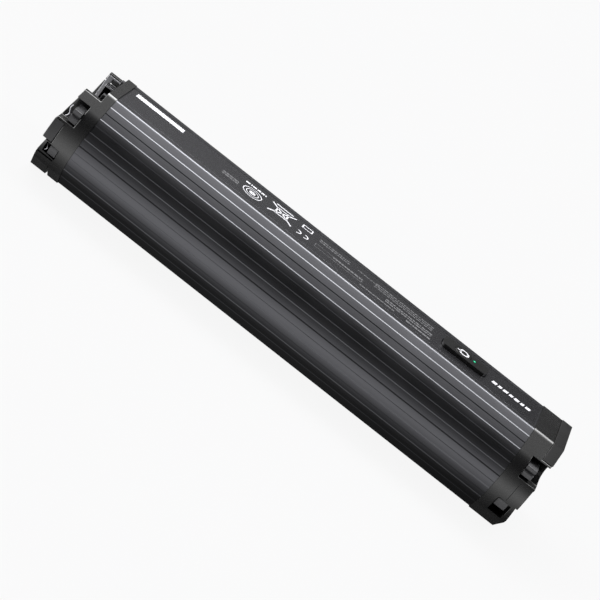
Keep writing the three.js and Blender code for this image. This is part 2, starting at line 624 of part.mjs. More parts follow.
// closed end
const rearEnd = subassembly();
place(rearEnd, 'rear_end_cap', rearCap(), 'blackPlastic');
place(rearEnd, 'rear_end_cover', rearCover(), 'blackPlastic');
place(rearEnd, 'rear_gasket', sealRing(1), 'rubber');
const strikerX = REAR_END - STRIKER.depth + GAP;
const strikerBlank = box([strikerX, strikerX + STRIKER.thick],
  [GAP - STRIKER.halfWidth, STRIKER.halfWidth - GAP],
  [GAP - STRIKER.halfHeight, STRIKER.halfHeight - GAP]);
const boltHole = box([0, FAR], [-5, 5], [-2.5, 2.5]);
place(rearEnd, 'lock_striker_plate', strikerBlank.subtract(boltHole), 'steel');

// latch blocks, guide tabs and catch plates on both sides
for (const [side, sign] of Object.entries(SIDES)) {
  for (const [spot, { block }] of Object.entries(POCKETS)) {
    const end = spot.startsWith('front') ? frontEnd : rearEnd;
    place(end, `${spot}_latch_block_${side}`, latchBlock(block, sign), 'greyPlastic');
  }
  place(frontEnd, `guide_tab_${side}`, guideTab(sign), 'greyPlastic');
  place(frontEnd, `catch_plate_${side}`, catchPlate(sign), 'steel');
}

// end screws: the head sits on the lid in front and in a counterbore behind
for (const { name, y, z } of screwPlaces()) {
  const frontSeat = z > 0 ? FRONT_LID : FRONT_LID + FRONT_COUNTERBORE;
  place(frontEnd, `front_screw_${name}`, endScrew(), 'steel', [frontSeat - GAP, y, z + MIDDLE]);
  const rear = place(rearEnd, `rear_screw_${name}`, endScrew(), 'steel',
    [HALF_TUBE + REAR_HEAD_SEAT + GAP, y, z + MIDDLE]);
  rear.rotation.z = Math.PI;
}

// switch and indicator
const switchUnit = subassembly();
place(switchUnit, 'switch_bezel', bezel(), 'glossBlack');
place(switchUnit, 'power_button', powerKey(), 'glossBlack');
place(switchUnit, 'led_light_pipe', lightPipe(), 'lens');
place(switchUnit, 'tact_switch', tactSwitch(), 'steel');
place(switchUnit, 'indicator_board', box([BEZEL.x - 17, BEZEL.x + 17], [-7.4, 7.4],
  [BOARD_BOTTOM, BOARD_TOP]), 'board');

// cell stack
const stack = subassembly();
cellPlaces().forEach(({ y, z }, i) => {
  const name = `cell_string_${String(i + 1).padStart(2, '0')}`;
  place(stack, name, cellString(), 'cell', [CELL_START, y, z + MIDDLE]);
});
const holderNames = ['front_cell_holder', 'middle_cell_holder', 'rear_cell_holder'];
const holderPlaces = [
  CELL_START + HOLDER_INSET,
  (CELL_START + CELL_END) / 2 - CELL_STEP / 2,
  CELL_END - HOLDER_INSET,
];
holderNames.forEach((name, i) => place(stack, name, cellHolder(holderPlaces[i]), 'greyPlastic'));
place(stack, 'front_busbar', busbar(CELL_START - GAP - BUSBAR_THICK), 'nickel');
place(stack, 'rear_busbar', busbar(CELL_END + GAP), 'nickel');

// electronics and wiring
const electronics = subassembly();
const boardBlank = prism(section(-4, 6), BOARD_X, BOARD_X + 1.6);
const boardNotches = screwPlaces().map(({ y, z }) => (
  bar(BOARD_X - 1, BOARD_X + 3, y, z, BOSS_RADIUS + 2 * GAP, 12)
));
place(electronics, 'battery_management_board', cut(boardBlank, boardNotches), 'board');
place(electronics, 'mosfet_heat_spreader',
  box([BOARD_X + 1.9, BOARD_X + 7], [-22, 22], [-16, -8]), 'anodised');
place(electronics, 'main_fuse', box([BOARD_X + 1.9, BOARD_X + 6.5], [-6, 6], [4, 10]), 'blackPlastic');
place(electronics, 'pack_return_lead', wire([
  [CELL_END + 4, -LEAD_Y, 14], [CELL_END + 5, -LEAD_Y, 20], [CELL_END + 3, -LEAD_Y, LEAD_Z],
  [CELL_END - 12, -LEAD_Y, LEAD_Z], [CELL_START + 12, -LEAD_Y, LEAD_Z],
  [CELL_START, -LEAD_Y, LEAD_Z], [BOARD_X + 8, -LEAD_Y, 22], [BOARD_X + 3.5, -LEAD_Y, 20],
], 1.4), 'blackWire');
place(electronics, 'signal_harness', wire([
  [BEZEL.x - 18.4, LEAD_Y, BOARD_BOTTOM - 0.4], [BEZEL.x - 24, LEAD_Y, LEAD_Z],
  [CELL_START + 12, LEAD_Y, LEAD_Z],
  [CELL_START, LEAD_Y, LEAD_Z], [BOARD_X + 8, LEAD_Y, 22], [BOARD_X + 3.2, LEAD_Y, 20],
], 1), 'redWire');

export default pack;
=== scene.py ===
"""Looks of an in-tube battery pack: a ribbed anodised housing with moulded black end caps.

Metres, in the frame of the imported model: +X runs from the connector end to the closed end, +Z is the
outward normal of the label face, and the pack rests on z = 0.
"""

import math
import random

import bmesh
import bpy
from mathutils import Matrix, Vector


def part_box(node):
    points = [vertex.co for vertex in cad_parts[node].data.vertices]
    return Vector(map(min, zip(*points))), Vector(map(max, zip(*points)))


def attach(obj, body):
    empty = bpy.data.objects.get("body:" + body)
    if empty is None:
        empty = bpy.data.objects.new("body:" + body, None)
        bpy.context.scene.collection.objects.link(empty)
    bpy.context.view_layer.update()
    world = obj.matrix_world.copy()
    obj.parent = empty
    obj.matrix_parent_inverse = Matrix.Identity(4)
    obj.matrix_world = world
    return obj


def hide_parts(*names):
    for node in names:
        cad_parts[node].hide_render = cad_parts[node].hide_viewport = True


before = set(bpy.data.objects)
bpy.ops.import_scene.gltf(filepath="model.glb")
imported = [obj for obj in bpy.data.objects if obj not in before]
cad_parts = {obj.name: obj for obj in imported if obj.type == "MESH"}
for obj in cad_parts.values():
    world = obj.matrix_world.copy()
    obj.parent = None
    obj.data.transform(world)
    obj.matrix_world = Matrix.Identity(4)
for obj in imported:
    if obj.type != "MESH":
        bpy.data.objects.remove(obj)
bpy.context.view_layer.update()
BODY = "pack"
KEY_BODY = "button"
SIDES = {"right": -1, "left": 1}
MM = 0.001

# ---------------------------------------------------------------- sizes shared by the pieces
HOUSING_LOW, HOUSING_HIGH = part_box("extruded_housing")
FRONT_CAP_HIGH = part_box("front_end_cap")[1]
REAR_CAP_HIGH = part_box("rear_end_cap")[1]
MIDDLE = (HOUSING_LOW.z + HOUSING_HIGH.z) / 2      # height of the section's middle
HALF_HEIGHT = (HOUSING_HIGH.z - HOUSING_LOW.z) / 2
HALF_TUBE = HOUSING_HIGH.x
CAP_PROUD = FRONT_CAP_HIGH.z - HOUSING_HIGH.z      # how far the caps stand out from the housing
LABEL_HALF = 21.5 * MM                             # half width of the flat label face
SHOULDER = math.radians(42.9)                      # slope of the flats beside it
SIDE_SWEEP = math.pi / 2 - SHOULDER                # half the angle of the round side
SIDE_RADIUS = 29.8 * MM
# the flats beside the label: how far from the section's middle they lie, and how long they are
SLOPE_REACH = LABEL_HALF * math.sin(SHOULDER) + HALF_HEIGHT * math.cos(SHOULDER)
ARC_CENTRE = (SLOPE_REACH - SIDE_RADIUS) / math.sin(SHOULDER)
SLOPE_RUN = (ARC_CENTRE + SIDE_RADIUS * math.sin(SHOULDER) - LABEL_HALF) / math.cos(SHOULDER)
WALL = 2.2 * MM                                    # thickness of the extrusion
EDGE_RADIUS = 3.1 * MM                             # rounding of the label edges
CAP_EDGE_RADIUS = 5.0 * MM                         # the same on the caps
BOTTOM_EDGE_RADIUS = 0.8 * MM                      # and of the bottom edges
BOTTOM_DROP = 0.6 * MM                             # the bottom flat is almost flush with the caps
FOOT = 16.2 * MM                                   # from the middle down to the plain foot of the caps
SEAM_FILL = 0.12 * MM                              # the housing reaches this far into the seams
FIRST_LAND = 6.4 * MM                              # from the label edge to the first step
LAND_PITCH = 5.3 * MM                              # from step to step
LAND_RISE = 0.22 * MM                              # height of a step
LAND_RAMP = 0.55 * MM                              # width of a step inward
RISING_RAMP = 0.95 * MM                            # and of a step outward
CROWN = math.radians(3.5)                          # crown of the shoulders at the label edge
CROWN_FALL = 1.7                                   # and how fast it turns over to the other side
RECESS_HALF = 16.5 * MM                            # half width of the channel in the label face
RECESS_DEPTH = 0.35 * MM
RECESS_RAMP = 0.15 * MM
RAMP_STEPS = 6                                     # pieces of each ramp
GUARD = 0.08 * MM                                  # strip beside a ramp that ends its shading
FILM_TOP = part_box("label_film")[1].z
BEZEL_LOW, BEZEL_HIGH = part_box("switch_bezel")
KEY_LOW, KEY_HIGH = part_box("power_button")
LIGHT_CENTRE = (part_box("led_light_pipe")[0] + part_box("led_light_pipe")[1]) / 2


# ---------------------------------------------------------------- node helpers
class Graph:
    """A short way to build the nodes of a material or of the world."""

    def __init__(self, tree):
        self.tree = tree

    def node(self, kind, values=None, **settings):
        made = self.tree.nodes.new(kind)
        for key, value in settings.items():
            setattr(made, key, value)
        for key, value in (values or {}).items():
            if hasattr(value, "links"):
                self.tree.links.new(value, made.inputs[key])
            else:
                made.inputs[key].default_value = value
        return made

    def math(self, operation, first, second=0.0):
        return self.node("ShaderNodeMath", {0: first, 1: second}, operation=operation).outputs[0]

    def spread(self, factor, low, high, start=0.3, end=0.7):
        values = {"Value": factor, "From Min": start, "From Max": end, "To Min": low, "To Max": high}
        return self.node("ShaderNodeMapRange", values).outputs["Result"]

    def ramp(self, factor, stops):
        """Colours between stops, which are (position, colour) pairs in order."""
        made = self.node("ShaderNodeValToRGB", {"Fac": factor})
        elements = made.color_ramp.elements
        elements[0].position = stops[0][0]
        elements[1].position = stops[-1][0]
        for position, _ in stops[1:-1]:
            elements.new(position)
        for element, (_, colour) in zip(elements, stops):
            element.color = (*colour, 1)
        return made.outputs["Color"]


class Look(Graph):
    """A material on one Principled shader."""

    def __init__(self, name, **sockets):
        self.material = bpy.data.materials.new(name)
        self.material.use_nodes = True
        super().__init__(self.material.node_tree)
        self.shader = self.tree.nodes["Principled BSDF"]
        for key, value in sockets.items():
            self.shader.inputs[key.replace("_", " ")].default_value = value
        self.place = self.node("ShaderNodeTexCoord").outputs["Object"]

    def noise(self, scale, detail=2.0, stretch=(1, 1, 1)):
        vector = self.node("ShaderNodeMapping", {"Vector": self.place, "Scale": stretch}).outputs["Vector"]
        values = {"Vector": vector, "Scale": scale, "Detail": detail}
        return self.node("ShaderNodeTexNoise", values).outputs["Fac"]

    def colours(self, factor, low, high, start=0.3, end=0.7):
        return self.ramp(factor, [(start, low), (end, high)])

    def bump(self, height, strength, distance, below=None):
        values = {"Height": height, "Strength": strength, "Distance": distance}
        if below is not None:
            values["Normal"] = below
        return self.node("ShaderNodeBump", values).outputs["Normal"]

    def edge_sheen_and_wear(self, amount):
        """How much a spot gets the painted edge highlight, which also stands for rubbed wear: high on convex
        edges, broken up by noise.
        """
        edge = self.node("ShaderNodeNewGeometry").outputs["Pointiness"]
        sharp = self.spread(edge, 0.0, 1.0, 0.52, 0.6)
        return self.math("MULTIPLY", self.math("MULTIPLY", sharp, self.noise(700, 3.0)), amount)

    def feed(self, **links):
        for key, value in links.items():
            self.tree.links.new(value, self.shader.inputs[key.replace("_", " ")])
        return self.material


# ---------------------------------------------------------------- materials
def anodised_material():
    """Blasted, drawn and anodised aluminium: fine lines along the drawing direction."""
    g = Look("anodised_aluminium", Metallic=1.0, IOR=1.5)
    lines = g.noise(7000, 3.0, stretch=(0.012, 1, 1))
    cloud = g.noise(24, 3.0)
    grain = g.noise(30000, 2.0)
    colour = g.colours(cloud, (0.140, 0.141, 0.152), (0.155, 0.156, 0.168))
    rough = g.math("ADD", g.spread(lines, -0.03, 0.03), g.spread(cloud, 0.29, 0.33))
    relief = g.bump(lines, 0.10, 0.00003, g.bump(grain, 0.06, 0.00002))
    return g.feed(Base_Color=colour, Roughness=rough, Normal=relief)


def plastic_material(name, low, high, rough, grain=0.2, scale=2400, gloss=0.5, ior=1.5):
    """Moulded plastic: spark-eroded grain, slight clouds, and convex edges painted lighter as a highlight
    that also stands for rubbed wear.
    """
    g = Look(name, Metallic=0.0, IOR=ior, Specular_IOR_Level=gloss)
    grains = g.noise(scale, 2.0)
    cloud = g.noise(40, 2.0)
    edge_sheen_and_wear = g.edge_sheen_and_wear(0.35)
    base = g.colours(cloud, low, high)
    # convex edges painted lighter: a painted edge highlight, also standing for rubbed wear; the same spots
    # are made less rough
    sheen_and_wear_colour = [2.2 * c + 0.02 for c in high]
    colour = g.node("ShaderNodeMix", {"Factor": edge_sheen_and_wear}, data_type="RGBA")
    g.tree.links.new(base, colour.inputs[6])
    colour.inputs[7].default_value = (*sheen_and_wear_colour, 1)
    clouded = g.spread(cloud, rough - 0.03, rough + 0.03)
    roughness = g.math("SUBTRACT", g.math("ADD", g.spread(grains, -0.05, 0.05), clouded),
                       g.math("MULTIPLY", edge_sheen_and_wear, 0.3))
    return g.feed(Base_Color=colour.outputs[2], Roughness=roughness,
                  Normal=g.bump(grains, grain, 0.00004))


def metal_material(name, low, high, rough, stretch=(1, 1, 0.05)):
    """Plated or bare metal with drawing lines and slight blotches."""
    g = Look(name, Metallic=1.0, IOR=1.5)
    lines = g.noise(5000, 2.0, stretch=stretch)
    cloud = g.noise(140, 3.0)
    colour = g.colours(cloud, low, high)
    roughness = g.math("ADD", g.spread(lines, -0.06, 0.06), g.spread(cloud, rough - 0.05, rough + 0.05))
    return g.feed(Base_Color=colour, Roughness=roughness, Normal=g.bump(lines, 0.15, 0.00003))


def film_material():
    """Satin label film over dark metal, with a light orange-peel surface."""
    g = Look("label_film", Metallic=1.0, IOR=1.5)
    cloud = g.noise(26, 2.0)
    peel = g.noise(1500, 2.0)
    colour = g.colours(cloud, (0.155, 0.155, 0.168), (0.175, 0.175, 0.19))
    return g.feed(Base_Color=colour, Roughness=g.spread(peel, 0.24, 0.29),
                  Normal=g.bump(peel, 0.02, 0.00003))


def board_material():
    """Green solder mask with blocky copper areas under it."""
    g = Look("circuit_board", Metallic=0.0, IOR=1.5)
    tracks = g.node("ShaderNodeTexVoronoi", {"Vector": g.place, "Scale": 420.0}, distance="MANHATTAN")
    colour = g.colours(tracks.outputs["Distance"], (0.012, 0.10, 0.04), (0.03, 0.2, 0.08), 0.35, 0.5)
    return g.feed(Base_Color=colour, Roughness=g.spread(g.noise(700), 0.3, 0.45))


def light_material():
    """The lit end of the light pipe: a pale green core in a deep green rim."""
    g = Look("green_light", Metallic=0.0, IOR=1.45, Roughness=0.15, Emission_Strength=1.0)
    rim = 1.15 * MM
    offset = g.node("ShaderNodeVectorMath", {0: g.place, 1: (LIGHT_CENTRE.x, LIGHT_CENTRE.y, 0)},
                    operation="SUBTRACT").outputs["Vector"]
    flat = g.node("ShaderNodeVectorMath", {0: offset, 1: (1, 1, 0)}, operation="MULTIPLY")
    reach = g.node("ShaderNodeVectorMath", {0: flat.outputs["Vector"]}, operation="LENGTH")
    near = g.spread(reach.outputs["Value"], 1.0, 0.0, 0.0, rim)
    glow = g.ramp(near, [(0.0, (0.0, 0.08, 0.035)), (0.35, (0.0, 0.35, 0.16)), (0.8, (0.12, 1.0, 0.55))])
    body = g.colours(near, (0.0, 0.06, 0.03), (0.05, 0.4, 0.22))
    return g.feed(Base_Color=body, Emission_Color=glow)


def sticker_material():
    """White paper with a row of plain dark bars along it."""
    g = Look("white_sticker", Metallic=0.0, IOR=1.45)
    bars = g.noise(1300, 0.0, stretch=(1, 0.0, 0.0))
    colour = g.colours(bars, (0.62, 0.62, 0.66), (0.86, 0.86, 0.9), 0.46, 0.5)
    return g.feed(Base_Color=colour, Roughness=g.spread(g.noise(2000), 0.5, 0.62))


def ink_material(name, low, high):
    """Screen-printed ink: uneven and slightly rough."""
    g = Look(name, Metallic=0.0, IOR=1.45)
    return g.feed(Base_Color=g.colours(g.noise(1800, 3.0), low, high),
                  Roughness=g.spread(g.noise(900), 0.45, 0.6))


def grey(level):
    """A neutral colour with the slight blue of the pack's greys."""
    return (level, level, 1.05 * level)


ANODISED = anodised_material()
FILM = film_material()
CAP_PLASTIC = plastic_material("cap_plastic", grey(0.004), grey(0.006), 0.26, gloss=1.0, ior=1.58)
COVER_PLASTIC = plastic_material("cover_plastic", grey(0.007), grey(0.011), 0.36, gloss=0.65)
TAB_PLASTIC = plastic_material("tab_plastic", grey(0.03), grey(0.045), 0.3, 0.12)
GLOSS_PLASTIC = plastic_material("gloss_plastic", grey(0.006), grey(0.009), 0.24, 0.05)
GREY_PLASTIC = plastic_material("grey_plastic", grey(0.045), grey(0.065), 0.28, 0.12)
RUBBER = plastic_material("rubber", grey(0.010), grey(0.018), 0.8, 0.3)
HOLDER_PLASTIC = plastic_material("holder_plastic", grey(0.03), grey(0.05), 0.6)
CELL_WRAP = plastic_material("cell_wrap", (0.02, 0.2, 0.27), (0.03, 0.26, 0.33), 0.3, 0.1)
RED_WIRE = plastic_material("red_wire", (0.35, 0.02, 0.02), (0.45, 0.03, 0.03), 0.5)
BLACK_WIRE = plastic_material("black_wire", grey(0.015), grey(0.025), 0.5)
STEEL = metal_material("steel", grey(0.36), grey(0.46), 0.3)
BLACK_STEEL = metal_material("black_steel", grey(0.025), grey(0.045), 0.4)
NICKEL = metal_material("nickel", (0.5, 0.48, 0.44), (0.6, 0.58, 0.54), 0.35)
BRASS = metal_material("brass", (0.6, 0.42, 0.16), (0.72, 0.52, 0.22), 0.3)
BARE_ALUMINIUM = metal_material("bare_aluminium", grey(0.55), grey(0.66), 0.35)
BOARD = board_material()
LIGHT = light_material()
STICKER = sticker_material()
WHITE_INK = ink_material("white_ink", grey(0.62), grey(0.78))
GREY_INK = ink_material("grey_ink", grey(0.11), grey(0.17))


# ---------------------------------------------------------------- the cross-section
def tangent_length(radius):
    """How far the rounding of a label edge reaches along each of its two flats."""
    return radius * math.tan(SHOULDER / 2)


def section_path():
    """Stretches of the right half of the section, from the label's middle to the bottom's middle, as
    (length, normal's angle at the start, normal's angle at the end)."""

    def flats(radius):
        tangent = tangent_length(radius)
        up = math.pi / 2
        return [(LABEL_HALF - tangent, up, up), (radius * SHOULDER, up, SIDE_SWEEP),
                (SLOPE_RUN - tangent, SIDE_SWEEP, SIDE_SWEEP)]

    lower = [(length, -end, -start) for length, start, end in reversed(flats(BOTTOM_EDGE_RADIUS))]
    return flats(EDGE_RADIUS) + [(2 * SIDE_RADIUS * SIDE_SWEEP, SIDE_SWEEP, -SIDE_SWEEP)] + lower


def at_run(path, run):
    """The point and the outward normal of a section path at a distance along it."""
    point = Vector((0.0, HALF_HEIGHT))
    angle = math.pi / 2
    for length, start, end in path:
        part = min(run, length)
        if abs(start - end) < 1e-9:
            angle = start
            point += part * Vector((math.sin(start), -math.cos(start)))
        else:
            radius = length / (start - end)
            angle = start - part / radius
            turn = Vector((math.cos(angle) - math.cos(start), math.sin(angle) - math.sin(start)))
            point += radius * turn
        run -= part
        if run <= 0:
            break
    return point, Vector((math.cos(angle), math.sin(angle)))


def smooth(t):
    """Goes from 0 to 1 with a soft start and end."""
    t = min(max(t, 0.0), 1.0)
    return t * t * (3 - 2 * t)


def housing_outline():
    """The right half of the housing's outside: (y, z) points about the section's middle."""
    path = section_path()
    total = sum(length for length, _, _ in path)
    short_arc = 10 * MM
    closest = 0.02 * MM
    to_side = path[0][0] + path[1][0] - tangent_length(EDGE_RADIUS)
    side_run = total - 2 * to_side
    # steps of the surface: place along the outline, height outwards, width of the ramp
    changes = [(RECESS_HALF, RECESS_DEPTH, RECESS_RAMP)]
    rise = LAND_RISE
    run = FIRST_LAND
    while run < side_run - FIRST_LAND:
        changes.append((to_side + run, rise, RISING_RAMP if rise > 0 else LAND_RAMP))
        rise = -rise
        run += LAND_PITCH
    runs = {0.0, total}
    for place, rise, ramp in changes:
        runs.update(place + ramp * (k / RAMP_STEPS - 0.5) for k in range(RAMP_STEPS + 1))
        runs.update((place - ramp / 2 - GUARD, place + ramp / 2 + GUARD))
    start = 0.0
    for length, first, last in path:
        runs.update((start + GUARD, start + length - GUARD))
        if first != last:
            count = 8 if length < short_arc else 64
            runs.update(start + length * k / count for k in range(count + 1))
        start += length
        runs.add(start)
    points = []
    last_run = -1.0
    for run in sorted(runs):
        if run - last_run < closest:
            continue
        last_run = run
        point, normal = at_run(path, run)
        level = sum(rise * smooth((run - place) / ramp + 0.5) for place, rise, ramp in changes)
        # the bottom has no steps of its own
        if run > total - to_side:
            level = RECESS_DEPTH + BOTTOM_DROP * smooth((run - total + to_side) / LAND_PITCH)
        points.append(point + normal * (level - RECESS_DEPTH))
    return points


def side_point(angle, offset):
    """A point of the round side, about the section's middle."""
    radius = SIDE_RADIUS + offset
    return Vector((ARC_CENTRE + radius * math.cos(angle), radius * math.sin(angle)))


def plain_outline(offset, steps=40):
    """The right half of the plain section, moved out by an offset."""
    corner = LABEL_HALF + offset * (1 - math.cos(SHOULDER)) / math.sin(SHOULDER)
    points = [Vector((corner, HALF_HEIGHT + offset))]
    for k in range(steps + 1):
        points.append(side_point(SIDE_SWEEP * (1 - 2 * k / steps), offset))
    points.append(Vector((corner, -HALF_HEIGHT - offset)))
    return points


def whole(half):
    """A closed outline from its right half, without doubled points on the middle line."""
    return list(half) + [Vector((-p.x, p.y)) for p in reversed(half) if p.x > 1e-7]


# ---------------------------------------------------------------- mesh helpers
def to_object(name, bm, material, sharp_angle=35):
    """An object of a finished mesh, shaded smooth across edges that are flatter than an angle."""
    bmesh.ops.recalc_face_normals(bm, faces=bm.faces)
    limit = math.radians(sharp_angle)
    for face in bm.faces:
        face.smooth = True
    for edge in bm.edges:
        edge.smooth = not (edge.is_manifold and edge.calc_face_angle(0) > limit)
    mesh = bpy.data.meshes.new(name)
    bm.to_mesh(mesh)
    bm.free()
    mesh.materials.append(material)
    obj = bpy.data.objects.new(name, mesh)
    bpy.context.scene.collection.objects.link(obj)
    return obj


def evaluated_mesh(obj):
    """A copy of an object's mesh with its modifiers applied."""
    bpy.context.view_layer.update()
    evaluated = obj.evaluated_get(bpy.context.evaluated_depsgraph_get())
    return bpy.data.meshes.new_from_object(evaluated)


def bake_modifiers(obj):
    """Puts the result of an object's modifiers in place of its mesh."""
    mesh = evaluated_mesh(obj)
    obj.modifiers.clear()
    obj.data = mesh


def even_shading(obj):
    """Keeps the large faces flat, so that only the roundings turn the shading."""
    modifier = obj.modifiers.new("even_shading", "WEIGHTED_NORMAL")
    modifier.keep_sharp = True
    modifier.weight = 80
    return obj


def hand_over(piece, nodes=(), body=BODY):
    """Tells the frame which body a piece rides on, and hides the CAD nodes it stands for."""
    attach(piece, body)
    if nodes:
        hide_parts(*nodes)
    return piece


def merge_flat_faces(bm):
    bmesh.ops.remove_doubles(bm, verts=bm.verts, dist=1e-6)
    bmesh.ops.dissolve_limit(bm, angle_limit=math.radians(0.6), verts=bm.verts, edges=bm.edges)


def round_edges(bm, width, segments=3, angle=24, shortest=0.0):
    """Merges flat faces, then rounds every edge that is sharper than an angle. With a shortest length
    given, shorter edges stay sharp, and so do those at the seams and at the foot, so that they don't hold
    back the width of the others."""
    merge_flat_faces(bm)
    limit = math.radians(angle)
    sharp = []
    for edge in bm.edges:
        at_seam = max(abs(v.co.x) for v in edge.verts) < HALF_TUBE + MM / 2
        at_foot = max(v.co.z for v in edge.verts) < MIDDLE - FOOT
        if shortest > 0 and (at_seam or at_foot or edge.calc_length() < shortest):
            continue
        if edge.is_manifold and edge.calc_face_angle(0) > limit:
            sharp.append(edge)
    bmesh.ops.bevel(bm, geom=sharp, offset=width, segments=segments, profile=0.5,
                    affect="EDGES", clamp_overlap=shortest == 0)


def true_round_side(obj, offset):
    """Gives the faces of a cap's round side the section's own normals, so that facets don't show."""
    mesh = obj.data
    normals = [Vector(corner.vector) for corner in mesh.corner_normals]
    across = 0.05
    off_round = 0.12 * MM
    nearly_facing = 0.985
    for face in mesh.polygons:
        if abs(face.normal.x) > across:
            continue
        for index in face.loop_indices:
            place = mesh.vertices[mesh.loops[index].vertex_index].co
            side = math.copysign(1, place.y)
            out = Vector((side * place.y - ARC_CENTRE, place.z - MIDDLE))
            if abs(out.length - SIDE_RADIUS - offset) > off_round:
                continue
            if abs(math.atan2(out.y, out.x)) > SIDE_SWEEP + 0.01:
                continue
            true = Vector((0, side * out.x, out.y)).normalized()
            if true.dot(face.normal) > nearly_facing:
                normals[index] = true
    mesh.normals_split_custom_set(normals)


def round_label_edges(bm):
    """Gives a cap's label edges a soft rounding, wider than the housing's."""
    merge_flat_faces(bm)
    lowest = MIDDLE + HALF_HEIGHT - 0.1 * MM
    innermost = LABEL_HALF - 0.5 * MM
    angle_slack = 0.05
    found = []
    for edge in bm.edges:
        a, b = edge.verts
        level = min(a.co.z, b.co.z) > lowest
        beside = min(abs(a.co.y), abs(b.co.y)) > innermost
        if level and beside and edge.is_manifold and abs(edge.calc_face_angle(0) - SHOULDER) < angle_slack:
            found.append(edge)
    bmesh.ops.bevel(bm, geom=found, offset=tangent_length(CAP_EDGE_RADIUS), segments=6, profile=0.5,
                    affect="EDGES", clamp_overlap=True)


def refine(node, material, width, segments=3, angle=24, body=BODY, side_offset=None,
           soft_label_edges=False, shortest=0.0):
    """A piece that stands for a CAD node: the same shape with rounded edges. The side offset is how far
    its round side stands out from the housing's; without one, its shading stays as it comes."""
    bm = bmesh.new()
    bm.from_mesh(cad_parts[node].data)
    if soft_label_edges:
        round_label_edges(bm)
    round_edges(bm, width, segments, angle, shortest)
    sharp_angle = 35 if angle > 35 else 50
    piece = even_shading(to_object(node + "_shape", bm, material, sharp_angle))
    if side_offset is not None:
        bake_modifiers(piece)
        true_round_side(piece, side_offset)
    return hand_over(piece, [node], body)


# ---------------------------------------------------------------- housing
def make_housing():
    """The extrusion: a finely stepped outside, a plain inside, soft ends and the switch opening."""
    bm = bmesh.new()

    def skin(outline, stations):
        """Walls along X through stations of (x, inset), and their first and last loop."""
        loops = []
        for x, inset in stations:
            scale = 1 - inset / HALF_HEIGHT
            loops.append([bm.verts.new((x, p.x * scale, MIDDLE + p.y * scale)) for p in outline])
        for a, b in zip(loops, loops[1:]):
            for i in range(len(outline)):
                j = (i + 1) % len(outline)
                bm.faces.new((a[i], a[j], b[j], b[i]))
        return loops[0], loops[-1]

    chamfer = 0.06 * MM
    end = HALF_TUBE + SEAM_FILL
    outer_ends = skin(whole(housing_outline()), [
        (-end, chamfer), (chamfer - end, 0), (end - chamfer, 0), (end, chamfer)])
    inner_ends = skin(whole(plain_outline(-WALL)), [(-end, 0), (end, 0)])
    for loops in zip(outer_ends, inner_ends):
        edges = [bm.edges.get((loop[i - 1], loop[i])) for loop in loops for i in range(len(loop))]
        bmesh.ops.triangle_fill(bm, edges=edges, use_beauty=True)
    housing = to_object("ribbed_housing", bm, ANODISED, 30)
    cut_switch_opening(housing)
    crown_shoulders(housing)
    hand_over(housing, ["extruded_housing"])


def crown_shoulders(obj):
    """Turns the shading of the flats beside the label as if they were slightly crowned. It fades in at
    the label edge and out again past the flats' lower end; both are shares of their length."""
    mesh = obj.data
    normals = [Vector(corner.vector) for corner in mesh.corner_normals]
    fade_in = 0.1
    fade_end = 1.5
    along = Vector((math.cos(SHOULDER), -math.sin(SHOULDER)))
    out = Vector((math.sin(SHOULDER), math.cos(SHOULDER)))
    corner = Vector((LABEL_HALF, HALF_HEIGHT))
    for face in mesh.polygons:
        for index in face.loop_indices:
            normal = normals[index]
            place = mesh.vertices[mesh.loops[index].vertex_index].co
            side = math.copysign(1, place.y)
            from_corner = Vector((side * place.y, place.z - MIDDLE)) - corner
            t = from_corner.dot(along) / SLOPE_RUN
            inside = from_corner.dot(out) < -WALL / 2
            if not (-fade_in < t < fade_end) or inside or abs(normal.x) > 0.5:
                continue
            turn = CROWN * (1 - CROWN_FALL * min(t, 1))
            if t >= 1:
                turn = turn * (fade_end - t) / (fade_end - 1)
            turn *= smooth((t + fade_in) / fade_in)
            normals[index] = Matrix.Rotation(side * turn, 3, "X") @ normal
    mesh.normals_split_custom_set(normals)


def cut_switch_opening(obj):
    """Cuts the opening through the label wall, hidden under the bezel's rim."""
    rim_x = 2.6 * MM
    rim_y = 0.85 * MM
    depth = 12 * MM
    bm = bmesh.new()
    bmesh.ops.create_cube(bm, size=1.0)
    size = (BEZEL_HIGH.x - BEZEL_LOW.x - 2 * rim_x, BEZEL_HIGH.y - BEZEL_LOW.y - 2 * rim_y, depth)
    centre = (BEZEL_LOW + BEZEL_HIGH) / 2
    centre.z = HOUSING_HIGH.z
    bmesh.ops.transform(bm, matrix=Matrix.Translation(centre) @ Matrix.Diagonal((*size, 1)), verts=bm.verts)
    cutter = to_object("switch_cutter", bm, ANODISED)
    boolean = obj.modifiers.new("switch_hole", "BOOLEAN")
    boolean.object = cutter
    boolean.solver = "EXACT"
    bake_modifiers(obj)
    bpy.data.objects.remove(cutter)


# ---------------------------------------------------------------- latch blocks, springs and the painted shade of the pad's groove
LATCH_NOSE = 0.7 * MM
LATCH_ROUNDING = 0.4 * MM
# the front of the blocks below the nose: millimetres back from the face, and share of the height
UPPER_FRONT = ((0.1, 0.70), (1.9, 0.60), (2.1, 0.50), (0.5, 0.43), (0.0, 0.36))
LOWER_FRONT = ((0.0, 0.70), (0.7, 0.35), (2.4, 0.0))
UPPER_FOOT = 0.3 * MM
# the spring's bends: millimetres beyond the block, millimetres back from its face, share of its height
SPRING_BENDS = ((2.4, 3.2, 1.02), (2.6, 1.8, 0.86), (2.0, 1.2, 0.66), (1.2, 0.9, 0.45), (1.6, 1.2, 0.28),
                (2.6, 2.2, 0.10))
SPRING_WIRE = 0.4 * MM                             # radius
PAD_LINE = 0.35 * MM                               # width of the painted shade line round a raised pad
PAD_START = 174.6 * MM                             # along X
PAD_TOP = 7.2 * MM                                 # above the section's middle
PAD_BOTTOM = 7.0 * MM                              # and below it


